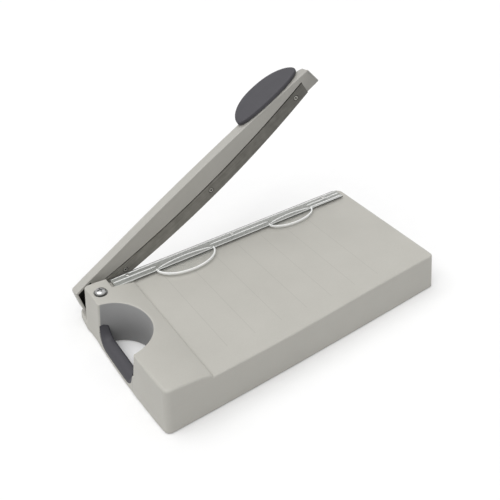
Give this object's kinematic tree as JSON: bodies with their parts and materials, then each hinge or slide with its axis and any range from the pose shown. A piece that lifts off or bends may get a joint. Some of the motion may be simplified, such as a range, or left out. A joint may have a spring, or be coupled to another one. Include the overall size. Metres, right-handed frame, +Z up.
{
  "type": "paper trimmer",
  "caption": "Guillotine paper trimmer: moulded base with round carry hole, sprung clear clamp along the cut, and a hinged arm with a bowed blade and a hand grip",
  "frame": {"origin": "middle of the footprint box, on the table under the feet", "axes": "+X along the cut from the hinge to the free end, +Y from the bed towards the arm side, +Z up"},
  "size_m": [0.3688, 0.2229, 0.224],
  "materials": {
    "shell_plastic": "fine grained light warm grey moulding",
    "plate_plastic": "plain dark grey moulding",
    "foot_rubber": "matte black",
    "soft_grip": "soft dark grey, fine matte",
    "knife_steel": "ground along its length",
    "blade_steel": "dark ground steel",
    "bracket_steel": "plain zinc plated",
    "screw_steel": "bright zinc plated",
    "bolt_chrome": "polished",
    "washer_plastic": "natural slip plastic",
    "clear_plastic": "clear polished",
    "bush_brass": "turned"
  },
  "bodies": {
    "base": {"base_shell": "shell_plastic", "bottom_plate": "plate_plastic", "bottom_screws": "screw_steel", "rubber_feet": "foot_rubber", "carry_grip": "soft_grip", "carry_grip_screws": "screw_steel", "fixed_blade": "knife_steel", "fixed_blade_screws": "screw_steel", "hinge_bracket": "bracket_steel", "bracket_bolt": "bolt_chrome", "bracket_washer": "bolt_chrome", "bracket_nut": "screw_steel", "pivot_pin": "screw_steel", "pivot_spacer": "bracket_steel", "thrust_washer": "washer_plastic", "wave_washer": "screw_steel", "pivot_nut": "screw_steel", "clamp_posts": "screw_steel", "clamp_springs": "screw_steel"},
    "clamp": {"paper_clamp": "clear_plastic"},
    "arm": {"arm_cover": "shell_plastic", "arm_bar": "bracket_steel", "pivot_bush": "bush_brass", "arm_blade": "blade_steel", "blade_screws": "screw_steel", "cover_screws": "screw_steel", "hand_grip": "soft_grip", "grip_screws": "screw_steel"}
  },
  "joints": [
    {"name": "arm_hinge", "type": "hinge", "parent": "base", "child": "arm", "pos_m": [-0.16199, 0.0775, 0.04], "axis": [0, -1, 0], "range_deg": [-31.4, 28]},
    {"name": "clamp_press", "type": "slide", "parent": "base", "child": "clamp", "axis": [0, 0, 1], "range_m": [-0.002, 0], "stiffness_N_per_m": 600, "springref_m": 0.003, "deforming": ["clamp_springs"]}
  ]
}
